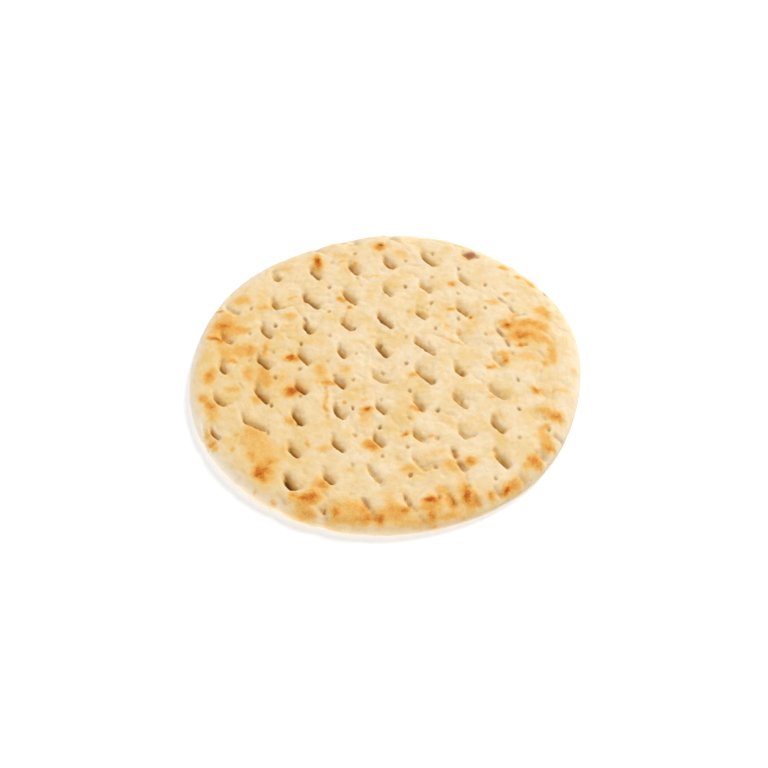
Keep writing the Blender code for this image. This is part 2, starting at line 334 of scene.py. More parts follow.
# scoops that differ, by column and row: moved by x and y, longer by reach at the tip and by
# back at the elbow, all in mm, turned by degrees, and with some of a right wall, the hook
unlikePresses = {
    (-4, 2): {"x": -1.5, "turn": 18}, (-4, 1): {"x": -1, "turn": 9}, (-4, 0): {"x": -1},
    (-4, -1): {"x": -0.5, "reach": -1.5, "turn": 8, "hook": 0.8}, (-4, -2): {"reach": -2},
    (-3, 3): {"x": -1, "y": 1, "reach": -1}, (-3, 2): {"reach": -1.5, "back": -1.5, "hook": 1.0},
    (-3, 1): {"x": -2, "y": 1}, (-3, 0): {"x": -1}, (-3, -1): {"x": -0.5, "reach": 2.5, "back": 1.5},
    (-3, -2): {"x": -1, "y": 1.5, "reach": 3, "back": 3, "turn": 12}, (-2, 3): {"x": -1, "y": 1},
    (-2, 2): {"x": -0.5, "reach": 2, "back": 2}, (-2, 0): {"x": -1}, (-2, -1): {"x": -1, "reach": -0.5},
    (-2, -2): {"x": -1, "y": 1.5, "hook": 0.3}, (-2, -3): {"y": 1},
    (-2, -4): {"x": -0.5, "y": 2.5, "reach": -2, "turn": 10, "hook": 0.8}, (-1, 4): {"reach": -1},
    (-1, 3): {"x": -0.5, "y": 1}, (-1, 2): {"x": -1.5, "y": 1}, (-1, 0): {"x": -1}, (-1, -1): {"x": -1},
    (-1, -2): {"x": -1, "y": 1.5}, (-1, -3): {"y": 1}, (-1, -4): {"x": -1.5, "y": 1.5, "turn": 10},
    (-1, -5): {"x": -2, "y": 4.5, "reach": -1.5, "back": -2}, (0, 3): {"x": -1},
    (0, 2): {"x": -1, "y": 0.5}, (0, 1): {"x": -0.5, "reach": 0.5, "back": 1.5}, (0, 0): {"x": -1},
    (0, -1): {"x": -1.5, "y": 1, "turn": 12, "hook": 0.5}, (0, -3): {"x": -0.5, "y": 0.5},
    (0, -4): {"x": -1, "y": 1, "reach": 1.5}, (0, -5): {"x": -2.5, "y": 1, "reach": 3},
    (1, 3): {"x": -1.5, "y": 1, "hook": 0.6}, (1, 2): {"x": -1}, (1, 1): {"x": -1.5, "turn": 8},
    (1, 0): {"y": -0.5, "reach": 3, "back": 1}, (1, -1): {"y": 0.5, "reach": 2.5, "back": 0.5},
    (1, -2): {"x": -1.5, "y": 1}, (1, -3): {"x": -0.5},
    (1, -4): {"y": 2.5, "back": 1, "turn": 5, "hook": 1.0}, (1, -5): {"x": -2.5, "y": 1},
    (2, 2): {"x": -1, "y": 1, "reach": -1, "back": -1},
    (2, 1): {"x": -1.5, "y": 0.5, "reach": 0.5, "back": -1}, (2, -1): {"x": -0.5, "y": -1},
    (2, -2): {"x": -1, "turn": 8, "hook": 0.4},
    (2, -3): {"x": -0.5, "reach": -1.5, "back": -2, "hook": 1.0}, (2, -4): {"y": 1, "back": 2, "hook": 0.4},
    (3, -1): {"x": -1.5, "y": 1.5, "reach": 0.5}, (3, -2): {"back": 2.5, "turn": 8, "hook": 0.3},
    (3, -3): {"x": -1.5, "back": 1.5}, (4, -3): {"x": -1, "back": 3},
}

dock = {
    "middle": (9.4 * mm, -14.1 * mm),
    "step": (11.7 * mm, 5.1 * mm),
    "pitch": 15.7 * mm,
    "reach": 8,                   # columns and rows tried each way from the middle
    "strayX": (0.7 * mm, 2.1, 2.0, 2.0),
    "strayY": (0.85 * mm, 0.6, 0.5, -2.0),
    "dockWidth": 0.75 * mm,
    "dockLength": 1.05 * mm,
    "floorEdge": 0.3,             # shares of the width where the floor ends and the crust begins
    "crustEdge": 1.6,
    "dockDepth": 1.3 * mm,
    "depthShare": 0.8,            # what is left of the depth, and how that strays
    "strayShare": (0.25, 2.7, 1.9, 0.5),
    "inScoops": -0.5,             # change of the depth where a hole lies in a scoop
    "turn": 30.0,                 # degrees
    "faintReach": 4.0 * mm,
    "margin": 8.0 * mm,           # no holes this close to the rim
}

# x, y in mm and share of the depth, where a hole closed up again
faintDocks = (
    (-60, 2, 0.4), (-25, 3, 0.4), (-25.5, -13, 0.4), (-25, -29, 0.4), (-61, -13, 0), (-61, -28, 0.2),
    (-49, 38, 0), (-25, -44, 0), (-60, -44, 0.2), (-48, -54, 0.5), (-26, -60, 0), (-37, -66, 0),
    (-14, -70, 0.4), (-38, 59, 0), (-25, 64, 0.1), (-3, 59, 0), (-60, 50, 0), (44, -31, 0), (68, 28, 0),
    (67.5, 12, 0), (45, 1, 0), (56, 23, 0), (33, -37, 0), (33, -52, 0), (56, 55, 0.2), (57, 39, 0.3),
    (10, 33, 0.35), (67, -4, 0.3), (67, -20, 0.2), (33, 12, 0.2), (44, -14, 0), (44, -48, 0.4),
    (-73, 14, 0), (-73, -2, 0), (-70, -18, 0), (72, -34, 0), (-65, 52, 0),
)

fold = {
    "endsFrom": 0.35,             # share of its half length from which a fold fades out
    "edge": 1.4,                  # the higher, the flatter its bottom
    "softness": 0.2,
    "lowest": 2.4 * mm,           # the folds fade out between these heights
    "highest": 5.2 * mm,
}

# folds of the skin: x, y, length, width and depth in mm, and degrees turned
creases = (
    # over the front rim
    (-25.2, -79, 10, 2.6, 0.8, -62), (-8.2, -75, 11, 1.6, 1.3, -62), (-5.2, -80, 9, 1.4, 1.1, -76),
    (8.3, -73, 9, 1.4, 1.6, -68), (11.5, -78, 6, 1.2, 1.0, -40), (27, -73, 11, 1.2, 1.3, -58),
    (15, -82, 7, 1.6, 0.8, -50), (37, -73, 8, 1.8, 0.9, -60), (-42, -72, 8, 2.0, 0.6, -50),
    (45, -68, 8, 1.8, 0.8, -55), (33.6, -66, 4, 1.4, 0.9, -70),
    # over the right rim
    (56, -61, 8, 1.8, 0.9, -45), (64, -50, 9, 1.8, 1.0, -35), (73, -40, 9, 1.9, 1.0, -25),
    (66, -29.5, 11, 1.0, 0.7, -44), (72, -24, 9, 1.2, 0.4, -20), (67.5, -16.5, 7, 1.1, 0.7, -50),
    (80, -12, 8, 1.6, 0.4, -25), (82, 5, 9, 1.6, 0.3, -30), (78, 22, 10, 1.6, 0.25, -20),
    # over the left and back rims
    (-69.5, 32, 8, 1.3, 0.8, -28), (-60, -60, 8, 2.0, 0.5, 45), (-25, 65, 9, 1.2, 0.6, 80),
    (-16, 77, 8, 1.8, 1.0, 60), (-33, 75, 8, 1.8, 0.8, 75), (2, 81, 8, 2.2, 0.8, 90),
    (33, 75, 8, 1.6, 0.6, 95),
    # round the pillows on the right
    (28, -49, 9, 1.5, 1.5, -70), (31, -56, 10, 1.3, 1.5, -60), (33, -62, 8, 1.2, 0.8, -80),
    (28, 14.5, 14, 1.2, 0.5, -28), (52.5, 38.5, 9, 1.5, 0.9, -48), (56.3, 33, 7, 1.4, 0.9, -68),
    (60, 29.5, 8, 1.2, 1.0, 10), (57, 27.5, 5, 1.1, 0.8, 75), (50.5, 18.8, 9, 1.6, 1.3, -58),
    (53.3, 13, 8, 1.6, 1.2, -65), (60.5, 11.2, 6, 1.1, 1.1), (68, 6.5, 8, 1.1, 0.7, -55),
    (48.5, 24, 7, 1.0, 0.6, 80), (45, 12, 9, 1.0, 0.5, -30), (63, 21, 8, 0.9, 0.4, 20),
    (66, 14, 7, 0.9, 0.5, -50),
    # and elsewhere
    (-63, -11.5, 7, 1.1, 0.7, -50), (-61, -43, 7, 1.0, 0.5, 85), (19, 12, 6, 1.2, 0.6, 85),
    (18, -55, 7, 1.0, 0.4, 20), (24, -40, 8, 1.0, 0.5, 10), (16, -65, 9, 1.1, 0.4, 30),
    (2, -3, 8, 1.2, 0.4, 20), (40, -8, 9, 1.2, 0.4, -40), (-10, 12, 8, 1.2, 0.3, -45),
    (8, 24, 8, 1.2, 0.3, -50), (-45, -28, 8, 1.2, 0.3, -30), (22, 44, 8, 1.2, 0.3, -30),
)

# middle, radius and height of each place that puffed up, in mm
puffs = (
    (63, 20, 13, 0.9), (47.5, 33, 7.5, 1.3), (46.5, 17, 7, 1.2), (-51, -46, 11, 0.8), (-15, -77, 8, 1.0),
    (-32, -72, 6, 0.7), (2, -76, 6, 1.0), (18, -75, 6.5, 1.0), (33, -70, 5, 0.8), (15.5, -52, 6.5, 1.2),
    (24, -51, 5, 0.9), (26, -60, 6.5, 1.0), (58, -7, 7, 0.6), (60, -45, 8, 0.6), (5, 72, 8, 0.6),
    (-22, 70, 7, 0.5),
)


def stray(rule, column, row):
    size, alongRows, alongColumns, start = rule
    return size * math.sin(alongRows * column + alongColumns * row + start)


def smooth(t):
    t = min(max(t, 0.0), 1.0)
    return t * t * (3.0 - 2.0 * t)


def pressPlace(i, j, share):
    # one scoop of the lattice, with what sets it apart from the others
    rowAngle, columnAngle = math.radians(press["rowAngle"]), math.radians(press["columnAngle"])
    unlike = unlikePresses.get((i, j), {})
    x = press["pitch"] * (i * math.cos(rowAngle) + j * math.cos(columnAngle))
    y = press["pitch"] * (i * math.sin(rowAngle) + j * math.sin(columnAngle))
    x += press["middle"][0] + stray(press["strayX"], i, j)
    y += press["middle"][1] + stray(press["strayY"], i, j)
    nearFront = smooth((-y - press["rimTurnFrom"]) / (loaf["radius"] - press["rimTurnFrom"]))
    heading = press["heading"] + stray(press["strayTurn"], i, j) - press["rimTurn"] * nearFront
    return {"at": (x + unlike.get("x", 0.0) * mm, y + unlike.get("y", 0.0) * mm, 0.0), "share": share,
            "heading": math.radians(heading + unlike.get("turn", 0.0)),
            "reach": unlike.get("reach", 0.0) * mm + stray(press["strayReach"], i, j),
            "back": unlike.get("back", 0.0) * mm, "hook": unlike.get("hook", 0.0)}


def pressPlaces():
    places = []
    for i, shares in enumerate(press["shares"], press["firstColumn"]):
        for j, share in enumerate(shares, press["firstRow"]):
            if share > 0.0:
                places.append(pressPlace(i, j, share))
    return places


def dockPlaces():
    places = []
    around = range(-dock["reach"], dock["reach"] + 1)
    for i in around:
        for j in around:
            x = dock["middle"][0] + i * dock["step"][0] + stray(dock["strayX"], i, j)
            y = dock["middle"][1] + i * dock["step"][1] + j * dock["pitch"] + stray(dock["strayY"], i, j)
            share = dock["depthShare"] + stray(dock["strayShare"], i, j)
            for faintX, faintY, left in faintDocks:
                if math.hypot(x - faintX * mm, y - faintY * mm) < dock["faintReach"]:
                    share = left
            if share > 0.0 and math.hypot(x, y) < loaf["radius"] - dock["margin"]:
                turn = math.radians(dock["turn"] * math.sin(3 * i + 5 * j))
                places.append({"at": (x, y, 0.0), "share": share, "turn": turn})
    return places


def markPlaces(marks, share, strength, unit):
    # size is the share of a mark's width, strength says what its fifth number is
    places = []
    for x, y, length, width, much, *turn in marks:
        places.append({"at": (x * mm, y * mm, 0.0), "size": share * width * mm, "stretch": length / width,
                       "turn": math.radians(sum(turn)), strength: much * unit})
    return places


def pointsObject(name, places):
    # loose points that carry numbers, read by the bread's tree and then removed
    mesh = bpy.data.meshes.new(name)
    mesh.from_pydata([given["at"] for given in places], [], [])
    for label in places[0]:
        if label != "at":
            values = mesh.attributes.new(label, "FLOAT", "POINT")
            values.data.foreach_set("value", [given[label] for given in places])
    return newObject(name, mesh)


def outlineRadius(angle, radius):
    # distance from the middle to the rim in each direction, with a notch at each scoop near the rim
    for count, height, peak in loaf["outlineWaves"]:
        radius = cosine(angle * float(count) - count * math.radians(peak)) * (height * mm) + radius
    for scoop in pressPlaces():
        x, y, _ = scoop["at"]
        if math.hypot(x, y) > loaf["radius"] - press["notchReach"]:
            aside = calc("WRAP", angle - math.atan2(y, x), -math.pi, math.pi)
            aside = aside * (loaf["radius"] / press["notchWidth"])
            radius = radius - fallOff(aside * aside) * (press["notchDepth"] * scoop["share"])
    return radius


def loafProfile(tree, given):
    # a ball's directions become the plain loaf, and the mask of its top side
    x, y, z = apart(positionOf(tree))
    angle = calc("ARCTAN2", y, x)
    split = math.cos(math.radians(loaf["topAngle"]))
    top = calc("GREATER_THAN", z, split)

    def either(whenTop, whenUnder):
        return whenTop * top + whenUnder * (1.0 - top)

    reach = root(highest(either((1.0 - z) / (1.0 - split), (1.0 + z) / (1.0 + split)), 0.0))
    shoulder = either(given["Top Shoulder"], given["Foot Shoulder"])
    crustHeight, widest = given["Crust Height"], given["Equator Height"]
    rise = either(crustHeight - widest, -widest)
    flat = outlineRadius(angle, given["Radius"]) - shoulder
    along = reach * (shoulder * (math.pi / 2) + flat)
    turn = lowest(highest((along - flat) / shoulder, 0.0), math.pi / 2)
    out = shoulder * sine(turn) + lowest(along, flat)
    up = rise * cosine(turn) + widest
    return joined(tree, out * cosine(angle), out * sine(angle), up), top


def acrossAndAhead(points, index, heading, plan="warped"):
    # where each vertex lies as seen from one point, turned to its heading
    tree = points.tree
    spot = sampled(points, positionOf(tree), index, "FLOAT_VECTOR")
    x, y, _ = apart(readAttribute(tree, plan, "FLOAT_VECTOR") - spot)
    cos, sin = cosine(heading), sine(heading)
    return y * cos - x * sin, x * cos + y * sin


def rounded(value, width):
    # value where it is positive, easing into 0 below that
    return (value + root(value * value + width * width)) * 0.5


def pressScoop(given, points, geometry, index):
    # one scoop: a steep wall with an elbow and a tip, a floor that rises behind it, a low lip ahead
    heading, share, reach, back, hook = carried(points, index, "heading", "share", "reach", "back", "hook")
    across, ahead = acrossAndAhead(points, index, heading)
    pastTip = across - (given["Tip Across"] + reach)
    pastElbow = given["Elbow Across"] - back - across
    bend = rounded(pastElbow, press["elbowRound"]) * given["Left Flare"]
    bend = rounded(pastTip, press["tipRound"]) * (hook * given["Right Flare"]) + bend
    inside = given["Edge Ahead"] - ahead - bend
    wall = eased(inside, 0.0, given["Wall Width"])
    floor = calc("EXPONENT", lowest((given["Wall Width"] - inside) / given["Floor Length"], 0.0))
    faded = pastTip - hook * press["hookReach"]
    width = (eased(pastElbow, press["leftFadeFrom"], press["leftFade"], 1.0, 0.0)
             * eased(faded, -press["rightFade"], press["rightFadePast"], 1.0, 0.0) * share)
    beyond = inside / given["Lip Width"] + press["lipAhead"]
    geometry = keepHighest(geometry, "hollow", floor * (wall * width))
    return keepHighest(geometry, "lip", fallOff(beyond * beyond) * width)


def dockHole(given, points, geometry, index):
    turn, share = carried(points, index, "turn", "share")
    across, ahead = acrossAndAhead(points, index, turn)
    across = across / given["Dock Length"]
    ahead = ahead / given["Dock Width"]
    away = root(across * across + ahead * ahead)
    return keepHighest(geometry, "dock", eased(away, dock["floorEdge"], dock["crustEdge"], 1.0, 0.0) * share)


def creaseLine(given, points, geometry, index):
    # a narrow fold of the skin, deepest in the middle of its length
    turn, size, stretch, depth = carried(points, index, "turn", "size", "stretch", "depth")
    across, ahead = acrossAndAhead(points, index, turn)
    ends = eased(abs(ahead / (size * stretch)), fold["endsFrom"], 1.0, 1.0, 0.0)
    return keepHighest(geometry, "fold", fallOff(abs(across / size) ** fold["edge"]) * ends * depth)


def markOn(name):
    # a browned spot with a soft halo; marks that meet add up without burning through
    def mark(given, points, geometry, index):
        turn, size, stretch, heat = carried(points, index, "turn", "size", "stretch", "heat")
        across, ahead = acrossAndAhead(points, index, turn, "smudged")
        across = across / size
        ahead = ahead / (size * stretch)
        away = across * across + ahead * ahead
        spot = fallOff(away ** marking["edge"]) * (1.0 - marking["haloShare"])
        spot = fallOff(away * marking["haloFade"]) * marking["haloShare"] + spot
        before = readAttribute(points.tree, name)
        room = (marking["hottest"] - before) * (1.0 / marking["hottest"])
        return keepAttribute(geometry, name, spot * heat * room + before)
    return mark


def puffLift(tree):
    x, y, _ = apart(positionOf(tree))
    lift = 0.0
    for puffX, puffY, radius, height in puffs:
        across = (x - puffX * mm) / (radius * mm)
        ahead = (y - puffY * mm) / (radius * mm)
        lift = fallOff((across * across + ahead * ahead) ** loaf["puffEdge"]) * (height * mm) + lift
    return lift


def evenBall(tree):
    # a cube with its points spread evenly over a ball
    count = loaf["pointsAcross"]
    cube = place(tree, "GeometryNodeMeshCube", {"Size": (2.0, 2.0, 2.0), "Vertices X": count,
                                                "Vertices Y": count, "Vertices Z": count}, output="Mesh")
    even = calc("TANGENT", scaled(positionOf(tree), math.pi / 4))
    return moved(cube, "Position", calc("NORMALIZE", even))


def keepPlan(geometry, seeded, name, scales, amount):
    # each point's place in plan, pushed about a little by coarse and finer waves
    x, y, _ = apart(positionOf(geometry.tree))
    coarse, fine = (noise(seeded, scale, output=1) - (0.5, 0.5, 0.5) for scale in scales)
    plan = joined(geometry.tree, x, y, 0.0) + scaled(coarse + scaled(fine, loaf["finerShare"]), amount)
    return keepAttribute(geometry, name, plan * (1.0, 1.0, 0.0), "FLOAT_VECTOR")


def pillowCreases(given, seeded):
    # small pillows of dough with thin creases between them
    pillow = abs(noise(seeded, loaf["pillowScale"], detail=1.0) - 0.5) * loaf["pillowEdge"]
    patches = eased(noise(seeded, loaf["patchScale"]), *loaf["patchEdge"])
    return (lowest(pillow, 1.0) - 1.0) * given["Pillow"] * patches


def crustOffset(tree, given, seeded):
    # how far each point moves: up or down on the crust, and into the skin at the folds
    _, _, z = apart(positionOf(tree))
    top, hollow, lip, hole, folded = (readAttribute(tree, name) for name in
                                      ("topSide", "hollow", "lip", "dock", "fold"))
    widest = given["Equator Height"]
    shoulder = (given["Crust Height"] - widest) * loaf["reliefFade"]
    fade = eased(z, widest, widest + shoulder) * top
    relief = (lip * given["Lip Height"] + puffLift(tree)
              + uneven(seeded, loaf["swellScale"], given["Swell"])
              + uneven(seeded, loaf["rippleScale"], given["Ripple"])
              + uneven(seeded, loaf["wrinkleScale"], given["Wrinkle"], detail=3.0)
              + pillowCreases(given, seeded) - hollow * given["Scoop Depth"]
              - hole * given["Dock Depth"] * (hollow * dock["inScoops"] + 1.0))
    under = (1.0 - top) * eased(z, 0.0, widest, 1.0, 0.0)
    lift = noise(seeded, loaf["footScale"], detail=4.0) * given["Foot Lift"]
    inwards = -folded * (eased(z, fold["lowest"], fold["highest"]) * top)
    normal = place(tree, "GeometryNodeInputNormal")
    return joined(tree, 0.0, 0.0, relief * fade + lift * under) + scaled(normal, inwards)


def labelled(piece, *names):
    # crustHeight is the tree's input Crust Height, and so on
    return {re.sub("([A-Z])", r" \1", name).title(): piece[name] for name in names}


def breadTree(material):
    sizes = labelled(loaf, "radius", "crustHeight", "equatorHeight", "topShoulder", "footShoulder", "swell",
                     "ripple", "wrinkle", "pillow", "footLift", "seed")
    sizes |= labelled(press, "warp", "scoopDepth", "floorLength", "edgeAhead", "tipAcross", "elbowAcross",
                      "leftFlare", "rightFlare", "wallWidth", "lipHeight", "lipWidth")
    sizes |= labelled(dock, "dockWidth", "dockLength", "dockDepth") | labelled(marking, "smudge")
    steps = {"Presses": pressScoop, "Docks": dockHole, "Creases": creaseLine, "Marks": markOn("toast"),
             "Scorches": markOn("scorch")}
    inputs = sizes | {label: "NodeSocketObject" for label in steps}
    tree, given, made = newTree("pitaBread", "GeometryNodeTree", inputs, {"Geometry": "NodeSocketGeometry"})
    seeded = positionOf(tree) + joined(tree, 0.0, 0.0, given["Seed"])

    spot, top = loafProfile(tree, given)
    geometry = moved(keepAttribute(evenBall(tree), "topSide", top), "Position", spot)
    geometry = keepPlan(geometry, seeded, "warped", press["warpScales"], given["Warp"])
    geometry = keepPlan(geometry, seeded, "smudged", marking["smudgeScales"], given["Smudge"])
    for name in ("hollow", "lip", "dock", "toast", "scorch", "fold"):
        geometry = keepAttribute(geometry, name, 0.0)
    for label, step in steps.items():
        points = place(tree, "GeometryNodeObjectInfo", {"Object": given[label]}, output="Geometry")
        geometry = repeatOver(points, geometry, lambda current, index: step(given, points, current, index))

    # a wall is only two mesh cells wide, so its stepped edge is softened
    for name, softness in (("hollow", press["softness"]), ("fold", fold["softness"])):
        soft = place(tree, "GeometryNodeBlurAttribute", {"Value": readAttribute(tree, name), "Iterations": 1,
                                                         "Weight": softness}, data_type="FLOAT")
        geometry = keepAttribute(geometry, name, soft)
    geometry = moved(geometry, "Offset", crustOffset(tree, given, seeded))
    geometry = place(tree, "GeometryNodeSetShadeSmooth", {"Geometry": geometry})
    geometry = place(tree, "GeometryNodeRealizeInstances", {"Geometry": geometry})
    geometry = place(tree, "GeometryNodeSetMaterial", {"Geometry": geometry, "Material": material})
    plug(tree, made["Geometry"], geometry)
    return tree, sizes


def makeBread(material):
    tree, sizes = breadTree(material)
    sources = {"Presses": pressPlaces(), "Docks": dockPlaces(),
               "Creases": markPlaces(creases, 0.5, "depth", mm),
               "Marks": markPlaces(toastMarks, marking["sizeShare"], "heat", 1.0),
               "Scorches": markPlaces(scorchMarks, marking["sizeShare"], "heat", 1.0)}
    sources = {label: pointsObject(label, places) for label, places in sources.items()}
    grown = newObject("growing", bpy.data.meshes.new("growing"))
    growth = grown.modifiers.new("pitaBread", "NODES")
    growth.node_group = tree
    for socket in tree.interface.items_tree:
        if socket.item_type == "SOCKET" and socket.in_out == "INPUT":
            growth[socket.identifier] = sources.get(socket.name, sizes.get(socket.name))
    evaluated = grown.evaluated_get(bpy.context.evaluated_depsgraph_get())
    mesh = bpy.data.meshes.new_from_object(evaluated)
    mesh.name = "pitaBreadCrust"
    grown.modifiers.clear()
    bread = newObject("pitaBreadCrust", mesh)
    for helper in (grown, *sources.values()):
        bpy.data.objects.remove(helper, do_unlink=True)
    print("bread:", len(mesh.vertices), "points,", len(mesh.polygons), "faces")
    return bread


# the toasting, and the crust's colours

marking = {
    "sizeShare": 0.56,            # of a mark's width, out to where most of its heat is gone
    "edge": 1.2,                  # the higher, the sharper the edge of a mark
    "haloFade": 0.3,
    "haloShare": 0.2,
    "hottest": 1.4,               # marks that meet never get past this heat
    "smudge": 4.0 * mm,           # unevenness of the marks in plan, from coarse and fine waves
    "smudgeScales": (210.0, 620.0),
}

